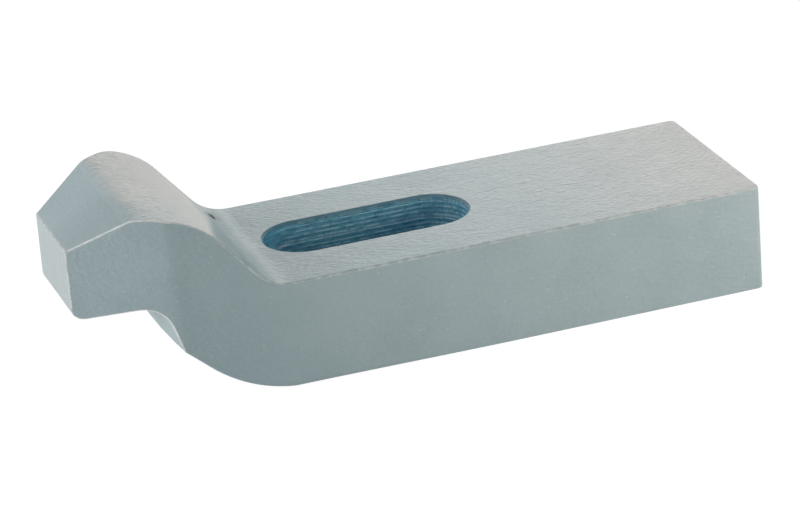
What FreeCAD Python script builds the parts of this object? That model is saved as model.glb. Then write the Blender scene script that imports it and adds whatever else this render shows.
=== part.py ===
import FreeCAD, Part
import math
import os

from FreeCAD import Vector

# Gooseneck clamp: one drop forged steel bar whose front end rises into a tapering nose.
# The base stands on z = 0, the nose points along -X, and y = 0 is the plane of symmetry.
# The origin is on the base, midway between the tip of the nose and the heel.

# Bar, millimetres and degrees
length = 160.0
width = 50.0
bar_height = 25.0
side_draft = 1.2
heel_corner_radius = 1.5

# Nose, seen from above
tip_width = 25.0
taper_length = 21.6
taper_blend_radius = 3.0

# Back of the gooseneck, seen from the side
crest_height = 45.2
tip_drop = 7.6
tip_slope = 29.2
crest_reach = 16.1
crest_radius = 20.0
crest_blend_radius = 5.0
neck_slope = 50.0
neck_foot_radius = 11.0
back_edge_radius = 0.8

# Underside of the gooseneck, in the plane of symmetry
contact_height = 21.1
contact_rise = 12.0
contact_edge_radius = 2.2
throat_reach = 17.0
throat_radius = 5.0
front_lean = 16.6
brow_height = 13.9
brow_radius = 1.5
belly_slope = 43.0
belly_radius = 33.0
milled_off_base = 0.2
front_crown_radius = 260.0

# Slot for the clamping bolt
slot_width = 18.5
slot_centre_distance = 30.0
slot_front_reach = 58.0
slot_mouth_break = 0.5

# How far a cutting shape runs past the forging
overrun = 10.0

# How near a point counts as lying on an edge
touch = 0.01

# Places worked out from the sizes
tip_x = -length / 2
heel_x = length / 2
tip_top_height = crest_height - tip_drop
slot_radius = slot_width / 2
slot_front_x = tip_x + slot_front_reach
slot_rear_x = slot_front_x + slot_centre_distance
throat_x = tip_x + throat_reach
throat_height = contact_height + throat_reach * math.tan(math.radians(contact_rise))
brow_x = throat_x + (throat_height - brow_height) * math.tan(math.radians(front_lean))
belly_foot_x = brow_x + (brow_height + milled_off_base) / math.tan(math.radians(belly_slope))


def direction(degrees):
    """Unit vector in the side view, turned up from +X by this angle."""
    angle = math.radians(degrees)
    return Vector(math.cos(angle), 0, math.sin(angle))


def side_y_at(height):
    """Half the bar's width at this height."""
    return width / 2 - height * math.tan(math.radians(side_draft))


def taper_y_at(x):
    """Half the nose's width at this place along the taper."""
    return tip_width / 2 + (x - tip_x) * (width - tip_width) / (2 * taper_length)


def line(start, end):
    return Part.LineSegment(start, end).toShape()


def arc_about(centre, start, end):
    """The shorter arc from start to end about a centre."""
    spoke = (start - centre) + (end - centre)
    middle = centre + spoke.normalize() * (start - centre).Length
    return Part.Arc(start, middle, end).toShape()


def rounded_outline(corners):
    """Closed wire through corners, each given as a point and the radius that rounds it."""
    count = len(corners)
    starts = []
    ends = []
    arcs = []
    for index, (corner, radius) in enumerate(corners):
        back = (corners[index - 1][0] - corner).normalize()
        ahead = (corners[(index + 1) % count][0] - corner).normalize()
        half_angle = back.getAngle(ahead) / 2
        setback = radius / math.tan(half_angle)
        start = corner + back * setback
        end = corner + ahead * setback
        bisector = (back + ahead).normalize()
        centre = corner + bisector * (radius / math.sin(half_angle))
        starts.append(start)
        ends.append(end)
        arcs.append(arc_about(centre, start, end) if radius > 0 else None)
    edges = []
    for index in range(count):
        if arcs[index] is not None:
            edges.append(arcs[index])
        edges.append(line(ends[index], starts[(index + 1) % count]))
    return Part.Wire(edges)


def edge_middle(edge):
    return edge.valueAt((edge.FirstParameter + edge.LastParameter) / 2)


def round_edges(shape, radius, wanted):
    """Round the edges whose middle point is wanted."""
    chosen = [edge for edge in shape.Edges if wanted(edge_middle(edge))]
    print("rounded", len(chosen), "edges at", radius)
    return shape.makeFillet(radius, chosen).Solids[0]


def on_side(point):
    """True on the bar's drafted sides."""
    return abs(abs(point.y) - side_y_at(point.z)) < touch


def on_shoulder(point):
    """The upright edges where the taper meets the sides."""
    return on_side(point) and abs(abs(point.y) - taper_y_at(point.x)) < touch


def on_heel_corner(point):
    return on_side(point) and abs(point.x - heel_x) < touch


def on_back_edge(point):
    """The upper edges of the sides, which run on along the back of the gooseneck."""
    return on_side(point) and abs(point.z - bar_height) < touch


def on_contact_edge(point):
    """The lower edge of the end face, which bears on the work."""
    return abs(point.x - tip_x) < touch and abs(point.z - contact_height) < touch


def crest_blend(crest_centre):
    """The arc between the nose's slope and its crest, as its centre and both its ends.

    It rolls inside the crest's circle and against the sloping line.
    """
    along_slope = direction(tip_slope)
    off_slope = direction(tip_slope + 90)
    at_tip = Vector(tip_x, 0, tip_top_height) - off_slope * crest_blend_radius
    to_tip = at_tip - crest_centre
    reach = crest_radius - crest_blend_radius
    half = to_tip.dot(along_slope)
    travel = math.sqrt(half ** 2 - to_tip.dot(to_tip) + reach ** 2) - half
    centre = at_tip + along_slope * travel
    on_slope = centre + off_slope * crest_blend_radius
    on_crest = crest_centre + (centre - crest_centre).normalize() * crest_radius
    return centre, on_slope, on_crest


def side_outline():
    """The forging seen from the side, filled down to the base under the nose."""
    tip_base = Vector(tip_x, 0, 0)
    tip_top = Vector(tip_x, 0, tip_top_height)
    heel_top = Vector(heel_x, 0, bar_height)
    heel_base = Vector(heel_x, 0, 0)

    crest_centre = Vector(tip_x + crest_reach, 0, crest_height - crest_radius)
    blend_centre, on_slope, on_crest = crest_blend(crest_centre)

    neck_top = crest_centre + direction(90 - neck_slope) * crest_radius
    neck_run = (neck_top.z - bar_height) / math.tan(math.radians(neck_slope))
    neck_foot = Vector(neck_top.x + neck_run, 0, bar_height)
    setback = neck_foot_radius * math.tan(math.radians(neck_slope / 2))
    foot_start = neck_foot - direction(-neck_slope) * setback
    foot_end = neck_foot + Vector(setback, 0, 0)
    foot_centre = foot_end + Vector(0, 0, neck_foot_radius)

    return Part.Wire([
        line(tip_base, tip_top),
        line(tip_top, on_slope),
        arc_about(blend_centre, on_slope, on_crest),
        arc_about(crest_centre, on_crest, neck_top),
        line(neck_top, foot_start),
        arc_about(foot_centre, foot_start, foot_end),
        line(foot_end, heel_top),
        line(heel_top, heel_base),
        line(heel_base, tip_base),
    ])


def plan_outline():
    """The forging seen from above: a bar whose front end tapers to the tip."""
    shoulder_x = tip_x + taper_length
    return Part.makePolygon([
        Vector(tip_x, -tip_width / 2, 0),
        Vector(shoulder_x, -width / 2, 0),
        Vector(heel_x, -width / 2, 0),
        Vector(heel_x, width / 2, 0),
        Vector(shoulder_x, width / 2, 0),
        Vector(tip_x, tip_width / 2, 0),
    ], True)


def end_outline():
    """The bar seen from its end: the die's draft draws the sides in with height."""
    top_half = side_y_at(crest_height)
    return Part.makePolygon([
        Vector(tip_x, -width / 2, 0),
        Vector(tip_x, width / 2, 0),
        Vector(tip_x, top_half, crest_height),
        Vector(tip_x, -top_half, crest_height),
    ], True)


def forging_blank():
    """The solid that has all three outlines, with its upright corners rounded."""
    side = Part.Face(side_outline()).extrude(Vector(0, width, 0))
    side.translate(Vector(0, -width / 2, 0))
    plan = Part.Face(plan_outline()).extrude(Vector(0, 0, crest_height))
    end = Part.Face(end_outline()).extrude(Vector(length, 0, 0))
    blank = side.common([plan]).common([end]).Solids[0]
    blank = round_edges(blank, taper_blend_radius, on_shoulder)
    return round_edges(blank, heel_corner_radius, on_heel_corner)


def throat_space():
    """The space under the nose, turned about an upright axis far behind it.

    Turning it gives the front of the bar a shallow crown from side to side.
    The belly's curve runs out just below the base, which is milled flat.
    """
    open_x = tip_x - overrun
    open_height = contact_height - overrun * math.tan(math.radians(contact_rise))
    corners = [
        (Vector(open_x, 0, open_height), 0),
        (Vector(throat_x, 0, throat_height), throat_radius),
        (Vector(brow_x, 0, brow_height), brow_radius),
        (Vector(belly_foot_x, 0, -milled_off_base), belly_radius),
        (Vector(belly_foot_x + belly_radius, 0, -milled_off_base), 0),
        (Vector(belly_foot_x + belly_radius, 0, -overrun), 0),
        (Vector(open_x, 0, -overrun), 0),
    ]
    section = Part.Face(rounded_outline(corners))
    axis_foot = Vector(brow_x + front_crown_radius, 0, 0)
    half_turn = math.degrees(math.asin((width / 2 + overrun) / front_crown_radius))
    up = Vector(0, 0, 1)
    section.rotate(axis_foot, up, -half_turn)
    return section.revolve(axis_foot, up, 2 * half_turn)


def slot_outline(radius, height):
    """A round-ended slot with this end radius, at this height."""
    front = Vector(slot_front_x, 0, height)
    rear = Vector(slot_rear_x, 0, height)
    across = Vector(0, radius, 0)
    along = Vector(radius, 0, 0)
    return Part.Wire([
        line(front - across, rear - across),
        Part.Arc(rear - across, rear + along, rear + across).toShape(),
        line(rear + across, front + across),
        Part.Arc(front + across, front - along, front - across).toShape(),
    ])


def slot_spaces():
    """The slot right through the bar, and the 45 degree break at its lower and upper mouth."""
    wide = slot_radius + slot_mouth_break
    upper_edge = bar_height - slot_mouth_break
    through = Part.Face(slot_outline(slot_radius, 0)).extrude(Vector(0, 0, crest_height))
    lower = Part.makeLoft([slot_outline(wide, 0), slot_outline(slot_radius, slot_mouth_break)], True, True)
    upper = Part.makeLoft([slot_outline(slot_radius, upper_edge), slot_outline(wide, bar_height)], True, True)
    return [through, lower, upper]


def gooseneck_clamp():
    body = forging_blank().cut(throat_space()).Solids[0]
    body = round_edges(body, back_edge_radius, on_back_edge)
    body = round_edges(body, contact_edge_radius, on_contact_edge)
    return body.cut(slot_spaces()).Solids[0]


os.makedirs("parts", exist_ok=True)
clamp = gooseneck_clamp()
box = clamp.optimalBoundingBox()
print("solid", clamp.ShapeType, "faces", len(clamp.Faces), "valid", clamp.isValid())
print("volume", round(clamp.Volume), "size", round(box.XLength, 2), round(box.YLength, 2), round(box.ZLength, 2))
clamp.exportStep("parts/gooseneck_clamp.step")
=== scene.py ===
# %% [markdown]
# # A gooseneck clamp
#
# A gooseneck clamp is one drop forged steel bar. Its back end lies flat on a support, a
# bolt goes up through the slot, and the raised nose reaches over the edge of the work and
# presses it down on the machine's table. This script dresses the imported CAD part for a
# picture: it models the forging once more with softer edges and a milled slot, gives it a
# grey-blue coat, and lights it. Every length in Blender is in metres.

import math

import bpy
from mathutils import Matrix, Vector


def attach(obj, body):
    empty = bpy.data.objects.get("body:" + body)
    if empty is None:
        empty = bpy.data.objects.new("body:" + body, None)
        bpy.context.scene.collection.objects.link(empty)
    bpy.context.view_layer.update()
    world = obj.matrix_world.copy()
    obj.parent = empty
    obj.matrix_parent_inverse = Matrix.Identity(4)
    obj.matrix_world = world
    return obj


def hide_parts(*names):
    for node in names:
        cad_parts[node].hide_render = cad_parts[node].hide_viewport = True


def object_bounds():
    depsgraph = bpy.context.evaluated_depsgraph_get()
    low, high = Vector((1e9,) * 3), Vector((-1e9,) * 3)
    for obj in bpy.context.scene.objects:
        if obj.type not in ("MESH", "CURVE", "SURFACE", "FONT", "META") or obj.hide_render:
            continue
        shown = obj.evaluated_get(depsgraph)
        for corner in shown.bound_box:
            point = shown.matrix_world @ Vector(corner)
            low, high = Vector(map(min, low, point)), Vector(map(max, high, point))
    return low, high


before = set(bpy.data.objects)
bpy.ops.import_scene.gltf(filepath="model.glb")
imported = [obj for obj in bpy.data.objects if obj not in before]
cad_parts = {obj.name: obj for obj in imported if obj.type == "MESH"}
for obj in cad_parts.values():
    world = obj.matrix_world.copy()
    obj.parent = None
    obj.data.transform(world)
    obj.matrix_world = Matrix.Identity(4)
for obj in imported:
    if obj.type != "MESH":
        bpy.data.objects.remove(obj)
cad_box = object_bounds()
clamp_size = cad_box[1] - cad_box[0]
print("CAD box, millimetres:", [round(side * 1000, 2) for side in clamp_size])

# %% [markdown]
# ## Sizes
#
# The forging's sizes are the same as the solid's. They are written here in millimetres,
# as on a drawing, and mm turns them into Blender's metres.

# %% Sizes of the forging
mm = 0.001
length = 160 * mm
width = 50 * mm
bar_height = 25 * mm
side_draft = math.radians(1.2)
heel_corner_radius = 1.5 * mm
tip_width = 25 * mm
taper_length = 21.6 * mm
taper_blend_radius = 3 * mm

crest_height = 45.2 * mm
tip_drop = 7.6 * mm
tip_slope = math.radians(29.2)
crest_reach = 16.1 * mm
crest_radius = 20 * mm
crest_blend_radius = 5 * mm
neck_slope = math.radians(50)
neck_foot_radius = 11 * mm

contact_height = 21.1 * mm
contact_rise = math.radians(12)
contact_edge_radius = 2.2 * mm
throat_reach = 17 * mm
throat_radius = 5 * mm
front_lean = math.radians(16.6)
brow_height = 13.9 * mm
brow_radius = 1.5 * mm
belly_slope = math.radians(43)
belly_radius = 33 * mm
milled_off_base = 0.2 * mm
front_crown_radius = 260 * mm

tip_x = -length / 2
heel_x = length / 2
overrun = 10 * mm
merge_distance = mm / 1000

# %% [markdown]
# ## Drawing an outline
#
# A pencil line in Blender can be a single vertex that is extruded: each extrusion leaves a
# straight edge behind it, and a spin about a centre leaves an arc. That keeps true lines
# and true arcs, which a traced curve would not, and every corner stays where the drawing
# puts it. The helpers below hold such a pencil. Seen from the front, x goes to the right
# and z goes up, and a positive turn is anticlockwise.

# %% A pencil that draws lines and arcs
def new_piece(name):
    """An object with a single vertex at the origin, in edit mode."""
    bpy.ops.object.select_all(action="DESELECT")
    bpy.ops.mesh.primitive_plane_add(size=mm)
    piece = bpy.context.object
    piece.name = name
    piece.data.name = name
    bpy.ops.object.mode_set(mode="EDIT")
    bpy.ops.mesh.select_mode(type="VERT")
    bpy.ops.mesh.select_all(action="SELECT")
    bpy.ops.mesh.merge(type="CENTER")
    return piece


class Pencil:
    """Draws an outline in the plane y = 0 with the vertex that is selected."""

    def __init__(self, start):
        bpy.ops.transform.translate(value=start)
        self.place = Vector(start)
        self.first = Vector(start)
        self.steps = 0

    def line_to(self, point):
        move = Vector(point) - self.place
        bpy.ops.mesh.extrude_region_move(TRANSFORM_OT_translate={"value": move})
        self.place = Vector(point)

    def arc_about(self, centre, end, step_angle):
        """The shorter arc about a centre to the end point."""
        spoke = self.place - centre
        reach = end - centre
        turn = math.atan2(spoke.x * reach.z - spoke.z * reach.x, spoke.dot(reach))
        steps = max(1, round(abs(turn) / step_angle))
        bpy.ops.mesh.spin(steps=steps, angle=turn, center=centre, axis=(0, 1, 0))
        self.place = Vector(end)
        self.steps += steps

    def close(self):
        """Joins the last point to the first one, and fills the outline with one face."""
        self.line_to(self.first)
        bpy.ops.mesh.select_all(action="SELECT")
        bpy.ops.mesh.remove_doubles(threshold=merge_distance)
        bpy.ops.mesh.edge_face_add()


def place(x, z):
    return Vector((x, 0, z))


def heading(angle):
    """Unit vector in the side view, turned up from +x by this angle."""
    return Vector((math.cos(angle), 0, math.sin(angle)))


# %% [markdown]
# ## A block with drafted and tapered sides
#
# The work starts like a smith's: with a plain block, here a cube stretched to the bar's
# length and width and a little more than its height. Cuts with a plane give it the
# forging die's draft, which draws the sides in with height, and the taper of the nose.
# A bisect that clears one side and fills the cut is the mesh version of a saw.

# %% Saw the block
bpy.ops.object.select_all(action="DESELECT")
block_height = crest_height + 1 * mm
bpy.ops.mesh.primitive_cube_add(size=1, location=(0, 0, block_height / 2))
forging = bpy.context.object
forging.name = "forged_clamp"
forging.data.name = "forged_clamp"
bpy.ops.object.mode_set(mode="EDIT")
bpy.ops.transform.resize(value=(length, width, block_height))


def saw(point, outward):
    """Cuts off what lies beyond a plane and closes the cut."""
    bpy.ops.mesh.select_all(action="SELECT")
    bpy.ops.mesh.bisect(
        plane_co=point, plane_no=outward, use_fill=True, clear_outer=True, threshold=merge_distance
    )


for side in (-1, 1):
    saw((0, side * width / 2, 0), (0, side * math.cos(side_draft), math.sin(side_draft)))
for side in (-1, 1):
    spread = (width - tip_width) / 2
    saw((tip_x, side * tip_width / 2, 0), Vector((-spread, side * taper_length, 0)).normalized())
bpy.ops.mesh.select_all(action="SELECT")
bpy.ops.mesh.remove_doubles(threshold=merge_distance)
bpy.ops.mesh.normals_make_consistent(inside=False)
bpy.ops.object.mode_set(mode="OBJECT")
bpy.ops.object.transform_apply(location=True, rotation=True, scale=True)
print("block:", len(forging.data.polygons), "faces")

# %% [markdown]
# ## Rounding the upright corners
#
# On the die the shoulders, where the taper meets the sides, are blended, and so are the
# heel's corners. A bevel does this while the block is still plain, so nothing is in its
# way. A fillet of radius r leaves the two faces r * tan(turn / 2) before the corner, where
# turn is the angle between the faces, so that is the width given to the bevel. The
# shoulder turns by thirty degrees only, and one narrow strip is enough for it, because the
# smooth shading bends the light over it. The heel's square corners get five.

# %% Round the shoulders and the heel's corners
def face_normals(piece):
    """For each edge of a mesh, the normals of the faces beside it."""
    beside = {key: [] for key in piece.data.edge_keys}
    for face in piece.data.polygons:
        for key in face.edge_keys:
            beside[key].append(face.normal)
    return beside


def pick_edges(piece, wanted):
    """Selects the edges that wanted(middle, normals) accepts, and nothing else."""
    beside = face_normals(piece)
    mesh = piece.data
    for face in mesh.polygons:
        face.select = False
    for vertex in mesh.vertices:
        vertex.select = False
    count = 0
    for edge in mesh.edges:
        ends = [mesh.vertices[index] for index in edge.vertices]
        middle = (ends[0].co + ends[1].co) / 2
        edge.select = bool(wanted(middle, beside[edge.key]))
        if edge.select:
            count += 1
            for vertex in ends:
                vertex.select = True
    return count


def round_picked(radius, turn, segments):
    bpy.ops.object.mode_set(mode="EDIT")
    bpy.ops.mesh.select_mode(type="EDGE")
    bpy.ops.mesh.bevel(
        offset_type="OFFSET", offset=radius * math.tan(turn / 2), segments=segments,
        profile=0.5, affect="EDGES", clamp_overlap=False,
    )
    bpy.ops.object.mode_set(mode="OBJECT")


def is_side(normal):
    return abs(normal.y) > 0.99


def is_taper(normal):
    return 0.6 < abs(normal.y) < 0.95 and normal.x < -0.3


def is_heel(normal):
    return normal.x > 0.99


taper_turn = math.atan2((width - tip_width) / 2, taper_length)
found = pick_edges(forging, lambda middle, near: any(map(is_side, near)) and any(map(is_taper, near)))
round_picked(taper_blend_radius, taper_turn, 1)
print("shoulder edges:", found)
found = pick_edges(forging, lambda middle, near: any(map(is_side, near)) and any(map(is_heel, near)))
round_picked(heel_corner_radius, math.pi / 2, 5)
print("heel corner edges:", found)

# %% [markdown]
# ## The back of the clamp
#
# Seen from the side, the back goes along the nose's slope, over the crest, down the neck
# and along the flat bar to the heel. The pencil draws the space above it, the space is
# extruded across, and a Boolean takes it out of the block. Cutting a space out keeps the
# flat sides flat, where pushing points about would bend them. The crest's arc takes one
# wide step over the shoulder, so that the rounding of the edge there lies in one face.

# %% Cut the space above the back
def cut_away(piece, space):
    """Takes the space out of the piece with a Boolean, and deletes the space."""
    knife = piece.modifiers.new("cut", "BOOLEAN")
    knife.operation = "DIFFERENCE"
    knife.solver = "EXACT"
    knife.object = space
    bpy.ops.object.select_all(action="DESELECT")
    piece.select_set(True)
    bpy.context.view_layer.objects.active = piece
    bpy.ops.object.modifier_apply(modifier=knife.name)
    bpy.data.objects.remove(space)


crest_centre = place(tip_x + crest_reach, crest_height - crest_radius)
tip_top = place(tip_x, crest_height - tip_drop)

# The small blend rolls inside the crest's circle and against the sloping line.
blend_start = tip_top - heading(tip_slope + math.pi / 2) * crest_blend_radius
to_start = blend_start - crest_centre
blend_reach = crest_radius - crest_blend_radius
half = to_start.dot(heading(tip_slope))
travel = math.sqrt(half ** 2 - to_start.dot(to_start) + blend_reach ** 2) - half
blend_centre = blend_start + heading(tip_slope) * travel
on_slope = blend_centre + heading(tip_slope + math.pi / 2) * crest_blend_radius
on_crest = crest_centre + (blend_centre - crest_centre).normalized() * crest_radius

neck_top = crest_centre + heading(math.pi / 2 - neck_slope) * crest_radius
neck_foot = place(neck_top.x + (neck_top.z - bar_height) / math.tan(neck_slope), bar_height)
foot_setback = neck_foot_radius * math.tan(neck_slope / 2)
foot_start = neck_foot - heading(-neck_slope) * foot_setback
foot_end = neck_foot + place(foot_setback, 0)
foot_centre = foot_end + place(0, neck_foot_radius)


def crest_at(x):
    """The point of the crest's arc at this x."""
    offset = x - crest_centre.x
    return crest_centre + place(offset, math.sqrt(crest_radius ** 2 - offset ** 2))


fine_step, shoulder_step = math.radians(3), math.radians(9)
before_shoulder, behind_shoulder = -61.4 * mm, -58.6 * mm
above = crest_height + overrun
back_space = new_piece("back_space")
pencil = Pencil(place(tip_x - overrun, above))
pencil.line_to(tip_top - heading(tip_slope) * (overrun / math.cos(tip_slope)))
pencil.line_to(on_slope)
pencil.arc_about(blend_centre, on_crest, math.radians(4))
pencil.arc_about(crest_centre, crest_at(before_shoulder), fine_step)
pencil.arc_about(crest_centre, crest_at(behind_shoulder), shoulder_step)
pencil.arc_about(crest_centre, neck_top, fine_step)
pencil.line_to(foot_start)
pencil.arc_about(foot_centre, foot_end, math.radians(5))
pencil.line_to(place(heel_x + overrun, bar_height))
pencil.line_to(place(heel_x + overrun, above))
pencil.close()
bpy.ops.transform.translate(value=(0, -width / 2 - overrun, 0))
across = (0, width + 2 * overrun, 0)
bpy.ops.mesh.extrude_region_move(TRANSFORM_OT_translate={"value": across})
bpy.ops.mesh.select_all(action="SELECT")
bpy.ops.mesh.normals_make_consistent(inside=False)
bpy.ops.object.mode_set(mode="OBJECT")
cut_away(forging, back_space)
print("after the back:", len(forging.data.polygons), "faces,", pencil.steps, "arc steps")

# %% [markdown]
# ## The throat
#
# The space under the nose has a roof that rises inwards, a round bore at its root, the
# front of the bar leaning out to a brow, and the belly that curves down to the base.
# Spun about an upright axis far behind it, the outline gives the front of the bar its
# shallow crown from side to side. The Boolean takes it out as before. The spin goes in
# wide steps near the sides, to leave a plain strip there for the rounding of the edges.

# %% Cut the throat
def rounded_corner(before, corner, after, radius):
    """Start, end and centre of the arc that rounds a corner between two others."""
    back = (before - corner).normalized()
    ahead = (after - corner).normalized()
    half_angle = back.angle(ahead) / 2
    setback = radius / math.tan(half_angle)
    centre = corner + (back + ahead).normalized() * (radius / math.sin(half_angle))
    return corner + back * setback, corner + ahead * setback, centre


throat_x = tip_x + throat_reach
throat_height = contact_height + throat_reach * math.tan(contact_rise)
brow_x = throat_x + (throat_height - brow_height) * math.tan(front_lean)
belly_foot_x = brow_x + (brow_height + milled_off_base) / math.tan(belly_slope)

opening = place(tip_x - overrun, contact_height - overrun * math.tan(contact_rise))
root = place(throat_x, throat_height)
brow = place(brow_x, brow_height)
belly_foot = place(belly_foot_x, -milled_off_base)
far_back = place(belly_foot_x + belly_radius, -milled_off_base)

throat_space = new_piece("throat_space")
pencil = Pencil(opening)
for before, corner, after, radius, step in (
    (opening, root, brow, throat_radius, 8),
    (root, brow, belly_foot, brow_radius, 14),
    (brow, belly_foot, far_back, belly_radius, 3),
):
    start, end, centre = rounded_corner(before, corner, after, radius)
    pencil.line_to(start)
    pencil.arc_about(centre, end, math.radians(step))
pencil.line_to(far_back)
pencil.line_to(far_back - place(0, overrun))
pencil.line_to(opening - place(0, opening.z + overrun))
pencil.close()

crown_axis = place(brow_x + front_crown_radius, 0)
outer_turn, inner_turn = math.radians(3.0), math.radians(4.2)
half_turn = outer_turn + inner_turn
bpy.ops.transform.rotate(value=-half_turn, orient_axis="Z", center_override=crown_axis)
for turn, steps in ((outer_turn, 1), (2 * inner_turn, 4), (outer_turn, 1)):
    bpy.ops.mesh.spin(steps=steps, angle=turn, center=crown_axis, axis=(0, 0, 1))
bpy.ops.mesh.select_all(action="SELECT")
bpy.ops.mesh.normals_make_consistent(inside=False)
bpy.ops.object.mode_set(mode="OBJECT")
reach = [vertex.co.y / mm for vertex in throat_space.data.vertices]
print("spun throat reaches from y", round(min(reach), 1), "to", round(max(reach), 1))
cut_away(forging, throat_space)
print("after the throat:", len(forging.data.polygons), "faces")

# %% [markdown]
# ## Softening the edges
#
# No edge of a forging is sharp. The lower edge of the nose, which bears on the work, is
# rounded most. Along the bar the die leaves a small radius, and along the belly a larger
# one that fades out on the base, where the underside is milled flat. The other edges
# are only broken. One Bevel modifier does them all: each edge carries a weight, and its
# bevel is as wide as the modifier's width times that weight. Long edges are divided
# first, so that the rounding can grow along them, as it does on a real forging. It only
# changes where an edge runs straight: at a bend two widths would not meet in one corner.
# The modifier also gives its new faces a material number of their own, which marks the
# narrow strips along the edges for the finish later on.

# %% Round the contact edge
def corner_turn(near):
    """The angle between the two faces of an edge."""
    return near[0].angle(near[1]) if len(near) == 2 else 0.0


def at_contact(middle, near):
    at_tip = abs(middle.x - tip_x) < 0.1 * mm and middle.z < contact_height + 1 * mm
    return at_tip and abs(middle.y) < tip_width / 2 - 0.1 * mm and corner_turn(near) > math.radians(60)


found = pick_edges(forging, at_contact)
round_picked(contact_edge_radius, math.pi / 2 + contact_rise, 7)
print("contact edges:", found)

# %% Divide the straight edges whose rounding changes
least_corner_turn = math.radians(22)
bar_edge_cuts = 54
belly_edge_cuts = 6


def is_corner(near):
    return corner_turn(near) > least_corner_turn


def divide_picked(piece, wanted, cuts):
    """Splits the wanted edges, so that their rounding can change along them."""
    found = pick_edges(piece, wanted)
    bpy.ops.object.mode_set(mode="EDIT")
    bpy.ops.mesh.select_mode(type="EDGE")
    bpy.ops.mesh.subdivide(number_cuts=cuts, ngon=True)
    bpy.ops.object.mode_set(mode="OBJECT")
    return found


brow_start, brow_end, _ = rounded_corner(root, brow, belly_foot, brow_radius)
belly_start, _, _ = rounded_corner(brow, belly_foot, far_back, belly_radius)


def along_bar(middle, near):
    """The long straight edges of the bar, both at its top and at its base."""
    return is_corner(near) and abs(middle.y) > width / 2 - 1 * mm and 10 * mm < middle.x < 40 * mm


def on_flat_belly(middle, near):
    """The short straight edges between the brow and the belly's curve."""
    height = belly_start.z + 1 * mm < middle.z < brow_end.z - 1 * mm
    return is_corner(near) and abs(middle.y) > width / 2 - 1 * mm and middle.x < -40 * mm and height


print("long edges divided:", divide_picked(forging, along_bar, bar_edge_cuts))
print("belly edges divided:", divide_picked(forging, on_flat_belly, belly_edge_cuts))

# %% Weight the edges and bevel them
bar_edge_radius = 0.55 * mm
belly_edge_radius = 1.6 * mm
broken_edge_radius = 0.3 * mm
full_bevel_width = 2 * mm


def growing(value, start, end, first_radius, last_radius):
    """A radius that goes from the first to the last while value goes from start to end."""
    share = min(1.0, max(0.0, (value - start) / (end - start)))
    return first_radius + (last_radius - first_radius) * share


def edge_radius(middle, near):
    """How round the forging's edge is at this place."""
    on_side_edge = any(is_side(normal) for normal in near)
    if on_side_edge and middle.z < brow_start.z and middle.x > -width:
        return growing(middle.x, -30 * mm, 15 * mm, belly_edge_radius, broken_edge_radius)
    if on_side_edge and middle.z < brow_end.z - 0.2 * mm:
        return growing(middle.z, belly_start.z, brow_end.z, belly_edge_radius, broken_edge_radius)
    if middle.z > bar_height - 1 * mm and middle.x > -30 * mm:
        return growing(middle.x, -30 * mm, -20 * mm, broken_edge_radius, bar_edge_radius)
    return broken_edge_radius


beside = face_normals(forging)
weights = forging.data.attributes.new("bevel_weight_edge", "FLOAT", "EDGE")
weighted = 0
for index, edge in enumerate(forging.data.edges):
    near = beside[edge.key]
    if is_corner(near):
        start, end = (forging.data.vertices[corner].co for corner in edge.vertices)
        weights.data[index].value = edge_radius((start + end) / 2, near) / full_bevel_width
        weighted += 1
print("edges with a weight:", weighted)

for _ in range(2):
    forging.data.materials.append(None)
softening = forging.modifiers.new("edges", "BEVEL")
softening.material = 1
softening.limit_method = "WEIGHT"
softening.offset_type = "OFFSET"
softening.width = full_bevel_width
softening.segments = 4
softening.use_clamp_overlap = False
bpy.ops.object.modifier_apply(modifier=softening.name)
print("after softening:", len(forging.data.polygons), "faces")

# %% [markdown]
# ## The slot
#
# The slot is milled with an end mill that steps down a little at each pass, and every pass
# leaves a fine ridge round the wall. They catch the light in rows. The cutter that makes
# the slot is drawn as the slot's outline and extruded upwards in short steps. Then the
# rings of points between two ridges are pushed out by about a tenth of a millimetre, so
# the Boolean leaves the ridges in the wall. The sines make them a little uneven in pitch
# and depth. Modelled ridges stay sharp in close views, where a bump map would look painted.

# %% Cut the milled slot
slot_width = 18.5 * mm
slot_centre_distance = 30 * mm
slot_front_x = tip_x + 58 * mm
slot_rear_x = slot_front_x + slot_centre_distance
slot_mouth_break = 0.5 * mm
ridge_depth = 0.13 * mm
ridge_pitch = 1.05 * mm
rings_per_ridge = 4
steps_along = 10
steps_round_end = 26
past_mouth = 1 * mm

slot_space = new_piece("slot_space")
slot_radius = slot_width / 2
bpy.ops.transform.translate(value=(slot_front_x, -slot_radius, -past_mouth))
for run, end_x in ((slot_centre_distance, slot_rear_x), (-slot_centre_distance, slot_front_x)):
    for _ in range(steps_along):
        move = (run / steps_along, 0, 0)
        bpy.ops.mesh.extrude_region_move(TRANSFORM_OT_translate={"value": move})
    bpy.ops.mesh.spin(steps=steps_round_end, angle=-math.pi, center=(end_x, 0, 0), axis=(0, 0, 1))
bpy.ops.mesh.select_all(action="SELECT")
bpy.ops.mesh.remove_doubles(threshold=merge_distance)
bpy.ops.mesh.edge_face_add()

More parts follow.
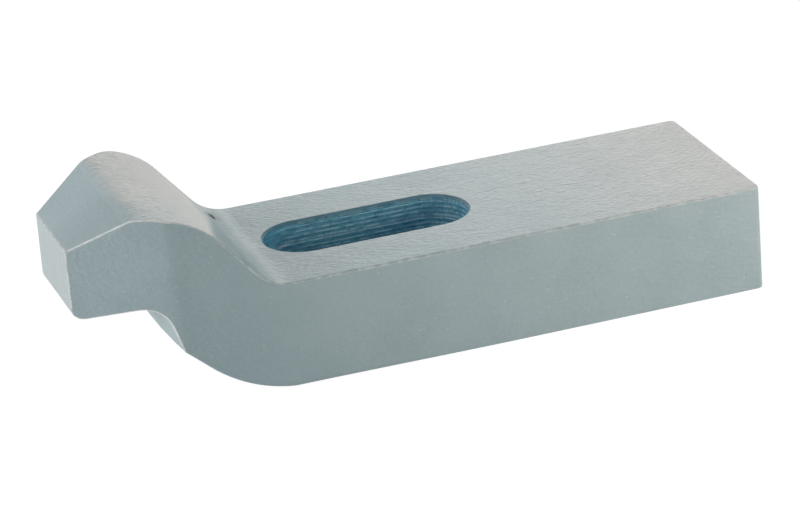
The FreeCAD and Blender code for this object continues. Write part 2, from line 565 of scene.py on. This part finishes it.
# Heights of the rings, each with how far it stands out from the slot's nominal wall.
rings = [(0.0, slot_mouth_break), (slot_mouth_break, 0.0)]
wall_height = bar_height - 2 * slot_mouth_break
ridge_count = round(wall_height / ridge_pitch)
for number in range(ridge_count * rings_per_ridge):
    phase = number / rings_per_ridge
    share = phase + 0.22 * math.sin(phase * 2.4) * math.sin(phase * 0.9 + 0.7)
    height = slot_mouth_break + (share + 0.2) * wall_height / (ridge_count + 0.4)
    depth = ridge_depth * (0.75 + 0.25 * math.sin(math.floor(phase) * 1.9))
    rings.append((height, depth * (0.5 - 0.5 * math.cos(2 * math.pi * phase))))
rings.append((bar_height - slot_mouth_break, 0.0))
rings.append((bar_height, slot_mouth_break))
rings.append((bar_height + past_mouth, slot_mouth_break + past_mouth))
below = -past_mouth
for height, _ in rings:
    bpy.ops.mesh.extrude_region_move(TRANSFORM_OT_translate={"value": (0, 0, height - below)})
    below = height
bpy.ops.mesh.select_all(action="SELECT")
bpy.ops.mesh.normals_make_consistent(inside=False)
bpy.ops.object.mode_set(mode="OBJECT")
rings.append((-past_mouth, slot_mouth_break + past_mouth))
for height, stand_out in rings:
    for face in slot_space.data.polygons:
        face.select = False
    for edge in slot_space.data.edges:
        edge.select = False
    for vertex in slot_space.data.vertices:
        vertex.select = abs(vertex.co.z - height) < 0.002 * mm
    bpy.ops.object.mode_set(mode="EDIT")
    bpy.ops.mesh.select_mode(type="VERT")
    bpy.ops.transform.shrink_fatten(value=stand_out)
    bpy.ops.object.mode_set(mode="OBJECT")
print("ridges:", ridge_count, "rings:", len(rings))
cutter_y = [point.co.y / mm for point in slot_space.data.vertices if 1 * mm < point.co.z < 24 * mm]
print("slot cutter across, millimetres:", round(min(cutter_y), 3), round(max(cutter_y), 3))
cut_away(forging, slot_space)
print("after the slot:", len(forging.data.polygons), "faces")

# %% [markdown]
# ## A gouge at the foot of the neck
#
# Where the neck runs out into the flat of the bar, the forging has a small gouge towards
# the far side, and the coat is painted dark in and around it. It is only a few millimetres
# long, so it needs no drawing: a ball of one millimetre's radius, made uneven and stretched
# to the half sizes below along x, y and z, is taken out of the skin.

# %% Cut the gouge
gouge_middle = Vector((-38.2, 17.2, 26.8)) * mm
gouge_half_sizes = (0.8, 2.3, 0.65)
gouge_unevenness = 0.13 * mm
bpy.ops.object.select_all(action="DESELECT")
bpy.ops.mesh.primitive_ico_sphere_add(subdivisions=3, radius=1 * mm)
gouge_space = bpy.context.object
gouge_space.name = "gouge_space"
bpy.ops.object.mode_set(mode="EDIT")
bpy.ops.mesh.select_all(action="SELECT")
bpy.ops.transform.vertex_random(offset=gouge_unevenness, seed=4)
bpy.ops.transform.resize(value=gouge_half_sizes)
bpy.ops.transform.translate(value=gouge_middle)
bpy.ops.object.mode_set(mode="OBJECT")
cut_away(forging, gouge_space)
print("after the gouge:", len(forging.data.polygons), "faces")

# %% [markdown]
# ## Shading the piece and hanging it on the clamp's body
#
# Smooth shading by angle keeps the flat faces flat and the small roundings round. The
# strips along the edges are written into an attribute, one number for each face, which the
# finish can read. The piece then rides on the clamp's only body and stands for the CAD
# solid, which is hidden.

# %% Mark the strips and smooth the shading
strips = forging.data.attributes.new("edge_strip", "FLOAT", "FACE")
for index, face in enumerate(forging.data.polygons):
    strips.data[index].value = face.material_index
    face.material_index = 0
print("faces in the strips:", sum(entry.value > 0.5 for entry in strips.data))
forging.data.materials.clear()

bpy.ops.object.select_all(action="DESELECT")
forging.select_set(True)
bpy.context.view_layer.objects.active = forging
bpy.ops.object.shade_smooth_by_angle(angle=math.radians(32), keep_sharp_edges=False)
even = forging.modifiers.new("even shading", "WEIGHTED_NORMAL")
even.keep_sharp = True
even.weight = 100
bpy.ops.object.modifier_apply(modifier=even.name)
forging.data.validate()
triangles = sum(len(face.vertices) - 2 for face in forging.data.polygons)
print("triangles:", triangles)

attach(forging, "root")
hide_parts("gooseneck_clamp")

# %% [markdown]
# ## Shader sums as Python
#
# A shader is a small calculation made again at every point of the surface. The class
# below wraps the output of a node, so that Python's own signs add the Math nodes:
# mask * 0.5 + 1 - noise becomes three nodes with their links.

# %% A socket that can be reckoned with
class Signal:
    """One value of a node tree, for use in Python expressions."""

    def __init__(self, tree, socket):
        self.tree = tree
        self.socket = socket

    def node(self, kind, settings=None, inputs=None, output=0):
        """Adds a node: its settings first, then a number or a Signal for its inputs."""
        made = self.tree.nodes.new(kind)
        for name, value in (settings or {}).items():
            setattr(made, name, value)
        for name, value in (inputs or {}).items():
            if isinstance(value, Signal):
                self.tree.links.new(value.socket, made.inputs[name])
            else:
                made.inputs[name].default_value = value
        return Signal(self.tree, made.outputs[output])

    def maths(self, operation, left, right=0.0):
        return self.node("ShaderNodeMath", {"operation": operation}, {0: left, 1: right})

    def __add__(self, other):
        return self.maths("ADD", self, other)

    def __radd__(self, other):
        return self.maths("ADD", other, self)

    def __sub__(self, other):
        return self.maths("SUBTRACT", self, other)

    def __rsub__(self, other):
        return self.maths("SUBTRACT", other, self)

    def __mul__(self, other):
        return self.maths("MULTIPLY", self, other)

    def __rmul__(self, other):
        return self.maths("MULTIPLY", other, self)

    def absolute(self):
        return self.maths("ABSOLUTE", self)

    def root(self):
        return self.maths("SQRT", self)

    def at_least(self, low):
        return self.maths("MAXIMUM", self, low)

    def at_most(self, high):
        return self.maths("MINIMUM", self, high)

    def between(self, low, high):
        """0 below low, 1 above high, with a soft step between them."""
        return self.node(
            "ShaderNodeMapRange", {"interpolation_type": "SMOOTHSTEP"},
            {"Value": self, "From Min": low, "From Max": high},
        )

    def tint(self, low, high):
        """A colour that goes from low to high as this value goes from 0 to 1."""
        return self.node(
            "ShaderNodeMix", {"data_type": "RGBA"}, {"Factor": self, "A": low, "B": high}, output=2
        )


def layered(colour, layers):
    """The colour with layers over it, each given as how much of it shows and its colour."""
    for amount, layer_colour in layers:
        colour = amount.tint(colour, layer_colour)
    return colour


def new_material(name):
    """A material with only a Principled shader, and a Signal to start its sums from."""
    material = bpy.data.materials.new(name)
    material.use_nodes = True
    tree = material.node_tree
    tree.nodes.clear()
    shader = tree.nodes.new("ShaderNodeBsdfPrincipled")
    output = tree.nodes.new("ShaderNodeOutputMaterial")
    tree.links.new(shader.outputs[0], output.inputs["Surface"])
    return material, shader, Signal(tree, shader.outputs[0])


# %% [markdown]
# ## Where a pattern lies
#
# All patterns read Object coordinates, in metres, so they stay on the clamp from any side.
# The noise helper takes the length of a feature, which is easier to judge from a real
# piece than a scale. Then each place with a look of its own gets a mask. The wall of the
# slot is found as the distance from the slot's middle line. The top is whatever faces
# upwards. The other masks are soft steps along the clamp: the first length is where the
# mask begins, and the second one is where it is full.

# %% Coordinates, noise and masks
coat, shader, base = new_material("grey_blue_coat")
spot = base.node("ShaderNodeTexCoord", output=3)
facing = base.node("ShaderNodeTexCoord", output=1)


def part_of(vector, axis):
    return base.node("ShaderNodeSeparateXYZ", {}, {"Vector": vector}, output=axis)


def noise(where, feature, detail=2.0, roughness=0.5):
    """Soft noise from 0 to 1 with features of about this length."""
    inputs = {"Vector": where, "Scale": 1 / feature, "Detail": detail, "Roughness": roughness}
    return base.node("ShaderNodeTexNoise", {}, inputs)


x, y, z = (part_of(spot, axis) for axis in range(3))
upward = part_of(facing, 2)

slot_middle_x = (slot_front_x + slot_rear_x) / 2
past_straight = ((x - slot_middle_x).absolute() - slot_centre_distance / 2).at_least(0.0)
from_slot = (past_straight * past_straight + y * y).root()
on_wall = from_slot.between(slot_radius + 0.42 * mm, slot_radius + 0.34 * mm)

on_top = upward.between(0.35, 0.6)
behind_slope = x.between(on_slope.x - 0.5 * mm, on_crest.x + 2 * mm)
along_neck = x - y * 0.26
on_neck = on_top * behind_slope * along_neck.between(-42.2 * mm, -44.4 * mm)
painted_neck_foot_shade = on_top * along_neck.between(-44.4 * mm, -42.2 * mm) * x.between(-34.5 * mm, -37.5 * mm)
hollow_with_painted_shade = on_top * x.between(-46 * mm, -41 * mm) * x.between(30 * mm, -22 * mm)
painted_light_to_heel = on_top * x.between(16 * mm, 92 * mm)
near_crest = y.between(-3 * mm, -15 * mm) * x.between(-51 * mm, -58 * mm)
on_end = x.between(-79.5 * mm, -79.9 * mm)
painted_low_side_shade = (1 - on_top) * x.between(30 * mm, -60 * mm) * x.between(-63 * mm, -57 * mm)

# %% [markdown]
# ## The coat on the forging
#
# The forging is blasted and then gets a thin satin coat of grey-blue. Under the coat the
# skin stays slightly uneven, like orange peel, with grains of about a millimetre. The coat
# itself is cloudy by a few percent, and has pale specks where a grain has come off. It is
# greyer on the end face. Light and shade are painted into the colour as well: a painted
# highlight over the crest and the neck, painted light on the top that grows towards the
# heel, and painted shade on the slope of the nose, at the neck's foot, in the hollow behind
# it and low on the side. Each of these is a mask between 0 and 1, and each mask tints the
# colour a little further. A photograph of the surface would give the same look from one
# side only.

# %% Colour of the coat
clouds = noise(spot, 16 * mm, 3.0).between(0.32, 0.68)
grain = noise(spot, 0.7 * mm, 2.0, 0.6)
cells = {"Vector": spot, "Scale": 1 / (2.1 * mm)}
to_speck = base.node("ShaderNodeTexVoronoi", {}, cells)
speck_choice = part_of(base.node("ShaderNodeTexVoronoi", {}, cells, output=1), 0)
specks = to_speck.between(0.13, 0.07) * speck_choice.between(0.46, 0.54)
front_shade = on_top * (1 - behind_slope) * (0.14 + 0.16 * y.between(4 * mm, -12 * mm))
painted_crest_highlight = on_neck * (0.6 + 0.16 * noise(spot, 5 * mm)) * (1 - near_crest * 0.5)

coat_colour = clouds.tint((0.283, 0.386, 0.425, 1), (0.311, 0.418, 0.461, 1))
coat_colour = layered(coat_colour, [
    (grain.between(0.3, 0.7) * (0.22 + on_top * 0.2), (0.40, 0.51, 0.55, 1)),
    (specks * 0.45, (0.58, 0.63, 0.64, 1)),
    (front_shade, (0.06, 0.10, 0.12, 1)),
    # painted highlight over the crest and the neck, weaker on the near side of the crest
    (painted_crest_highlight, (0.60, 0.62, 0.61, 1)),
    # painted light on the top, growing towards the heel
    (painted_light_to_heel * 0.7, (0.57, 0.58, 0.57, 1)),
    # painted shade at the foot of the neck
    (painted_neck_foot_shade * 0.74, (0.05, 0.12, 0.145, 1)),
    # painted shade low on the side
    (painted_low_side_shade * 0.17, (0.05, 0.17, 0.24, 1)),
    (on_end * 0.8, (0.305, 0.365, 0.385, 1)),
    # painted shade in the hollow behind the neck
    (hollow_with_painted_shade * 0.34, (0.08, 0.21, 0.24, 1)),
])

# %% Wear and painted highlight along the edges, and a dark patch in the gouge
strip = base.node("ShaderNodeAttribute", {"attribute_name": "edge_strip"}, output=2)
lumps = noise(spot, 1.6 * mm, 2.0).between(0.40, 0.62)
nose_share = x.between(-48 * mm, -62 * mm) * x.between(-79.7 * mm, -79.0 * mm)
# The strips along the edges are painted lighter: part wear, part painted highlight, most on the nose.
edge_wear_and_highlight = (0.12 + lumps * 0.3 + nose_share * 0.6).at_most(1.0)
gouge_points = {0: spot, 1: gouge_middle}
to_gouge = base.node("ShaderNodeVectorMath", {"operation": "DISTANCE"}, gouge_points, output=1)
# The coat is painted dark in and around the gouge.
gouge_darkening = to_gouge.between(3.2 * mm, 1.2 * mm) * noise(spot, 0.8 * mm).between(0.35, 0.6)
coat_colour = layered(coat_colour, [
    (strip * z.between(13.5 * mm, 15 * mm) * edge_wear_and_highlight, (0.72, 0.78, 0.80, 1)),
    (gouge_darkening * 0.85, (0.07, 0.08, 0.08, 1)),
])

# %% [markdown]
# ## The milled wall of the slot
#
# The slot is milled after the coat has dried, oiled and darkened, so its wall is a deep
# teal that changes in bands along the cutter's path. The bands are noise that is squeezed
# six times in height, and the ridges themselves are in the mesh. Their crests stand in by
# a tenth of a millimetre, so the distance from the slot's middle line finds them too: there
# the wall gets a painted highlight. The wall is also painted darker as shade towards the
# bottom of the slot and in a narrow band just under the rim.

# %% Colour of the slot's wall
drawn = base.node("ShaderNodeMapping", {}, {"Vector": spot, "Scale": (0.55, 1.0, 1.0)})
banded = base.node("ShaderNodeMapping", {}, {"Vector": spot, "Scale": (1.0, 1.0, 6.0)})
bands = noise(banded, 3.2 * mm, 3.0, 0.6).between(0.35, 0.65)
painted_depth_shade = 1 - z.between(1 * mm, 17 * mm)
dashes = noise(drawn, 1.1 * mm, 2.0).between(0.40, 0.58)
past_front = x.between(slot_front_x - 4 * mm, slot_front_x + 3 * mm)
painted_ridge_highlight = from_slot.between(slot_radius + 0.055 * mm, slot_radius + 0.005 * mm) * past_front
wall_grain = noise(spot, 0.45 * mm, 2.0, 0.6).between(0.4, 0.7) * past_front
painted_rim_shade = z.between(bar_height - 1.1 * mm, bar_height - 0.7 * mm)

wall_colour = bands.tint((0.036, 0.19, 0.30, 1), (0.095, 0.36, 0.51, 1))
wall_colour = layered(wall_colour, [
    # painted shade, darker towards the bottom of the slot
    (painted_depth_shade * 0.28, (0.01, 0.06, 0.10, 1)),
    # painted highlight on the crests of the ridges
    (painted_ridge_highlight * (0.25 + dashes * 0.7), (0.40, 0.68, 0.78, 1)),
    (wall_grain * 0.35, (0.30, 0.50, 0.60, 1)),
    # painted shade in a narrow band just under the rim
    (painted_rim_shade * 0.6, (0.03, 0.10, 0.14, 1)),
])
colour = on_wall.tint(coat_colour, wall_colour)
base.tree.links.new(colour.socket, shader.inputs["Base Color"])

# %% Gloss and skin
wall_roughness = 0.32
skin_depth = 0.12 * mm
satin = 0.42 + clouds * 0.05 + specks * 0.1
roughness = satin + on_wall * (wall_roughness - satin)
base.tree.links.new(roughness.socket, shader.inputs["Roughness"])
peel = noise(drawn, 0.8 * mm, 2.0, 0.5) + 0.6 * noise(spot, 4.5 * mm, 1.0) + 0.22 * specks
on_nose_side = (1 - on_top) * x.between(-44 * mm, -56 * mm)
on_nose_top = on_top * behind_slope * (2.0 + 1.8 * x.between(-42 * mm, -50 * mm))
coarse = 1 + on_nose_top + on_nose_side * 1.8
skin = peel * coarse * (1 - on_wall * 0.8) * (1 - hollow_with_painted_shade * 0.35)
relief = base.node("ShaderNodeBump", {}, {"Strength": 1.0, "Distance": skin_depth, "Height": skin})
base.tree.links.new(relief.socket, shader.inputs["Normal"])
forging.data.materials.append(coat)
print("nodes in the coat:", len(base.tree.nodes))

# %% [markdown]
# ## Floor and surroundings
#
# The clamp stands on a white floor in a white room. Light Path tells the shader which kind
# of ray has met it: to the camera and in reflections the floor and the world are white,
# while to all other rays the floor is plain white paint and the world a soft fill. A share
# of the painted floor stays in the mix, so that it keeps the clamp's shadow.

# %% Floor and world
floor_glow = 1.16
glow_share = 0.8
fill_strength = 0.24


def seen_directly(base):
    """1 for a ray from the camera, a reflection or a view through glass, and 0 otherwise."""
    rays = [base.node("ShaderNodeLightPath", output=kind) for kind in (0, 3, 6)]
    return (rays[0] + rays[1] + rays[2]).at_most(1.0)


bpy.ops.object.select_all(action="DESELECT")
bpy.ops.mesh.primitive_plane_add(size=6)
floor = bpy.context.object
floor.name = "floor"
white, paint, base = new_material("white_floor")
paint.inputs["Base Color"].default_value = (0.9, 0.9, 0.9, 1)
paint.inputs["Roughness"].default_value = 0.9
paint.inputs["Specular IOR Level"].default_value = 0.0
glow = base.node("ShaderNodeEmission", {}, {"Strength": floor_glow})
glowing = seen_directly(base) * glow_share
painted = Signal(base.tree, paint.outputs[0])
mixed = base.node("ShaderNodeMixShader", {}, {0: glowing, 1: painted, 2: glow})
surface = [node for node in base.tree.nodes if node.type == "OUTPUT_MATERIAL"][0].inputs["Surface"]
base.tree.links.new(mixed.socket, surface)
floor.data.materials.append(white)

world = bpy.data.worlds.new("studio")
bpy.context.scene.world = world
world.use_nodes = True
background = world.node_tree.nodes["Background"]
background.inputs["Color"].default_value = (1, 1, 1, 1)
base = Signal(world.node_tree, background.outputs[0])
strength = fill_strength + seen_directly(base) * (1 - fill_strength)
world.node_tree.links.new(strength.socket, background.inputs["Strength"])

# %% [markdown]
# ## Lights
#
# Four soft square lamps stand round the clamp. The one behind the heel shines along the
# top, so that the satin coat mirrors it at a low angle and the top comes out lighter than
# the slope of the nose, which tips away from it. One on the left and one behind the nose
# light the end face. A small warm one close to the heel lets the near side grow lighter
# towards it. A lamp's power is in watts, and its size and reach are in metres. Its
# bearing is turned from the near side towards the heel, and its height is above the
# floor's plane, both in degrees.

# %% Set up the lamps
def soft_lamp(name, power, tone, size, bearing, height, reach, aim):
    lamp = bpy.data.lights.new(name, "AREA")
    lamp.energy = power
    lamp.color = tone
    lamp.size = size
    turn, rise = math.radians(bearing), math.radians(height)
    away = Vector((math.sin(turn) * math.cos(rise), -math.cos(turn) * math.cos(rise), math.sin(rise)))
    holder = bpy.data.objects.new(name, lamp)
    bpy.context.scene.collection.objects.link(holder)
    holder.location = Vector(aim) + away * reach
    holder.rotation_euler = (-away).to_track_quat("-Z", "Y").to_euler()
    holder.visible_camera = False


clamp_middle = (0, 0, 0.02)
heel_corner = (heel_x, -width / 2, bar_height / 2)
soft_lamp("behind_heel", 2.36, (1, 0.96, 0.92), 0.5, 155, 25, 0.9, clamp_middle)
soft_lamp("left", 5.2, (1, 0.94, 0.90), 0.5, 270, 12, 0.9, clamp_middle)
soft_lamp("behind_nose", 2.6, (1, 0.90, 0.82), 0.5, 230, 15, 0.9, clamp_middle)
soft_lamp("near_heel", 1.12, (1, 0.86, 0.75), 0.2, 35, 10, 0.35, heel_corner)

# %% [markdown]
# ## Camera
#
# The camera looks down on the clamp's near side from the left, with a long lens. Its place
# was worked out from the clamp's edges in the photograph.

# %% Camera
view = bpy.data.cameras.new("photo_view")
camera = bpy.data.objects.new("photo_view", view)
bpy.context.scene.collection.objects.link(camera)
camera.location = (-0.24165, -0.73266, 0.34184)
camera.rotation_euler = [math.radians(angle) for angle in (67.02, 3.922, -19.952)]
view.sensor_width = 36
view.lens = 164.8
view.clip_start = 0.01
bpy.context.scene.camera = camera
bpy.context.scene.view_settings.view_transform = "Standard"
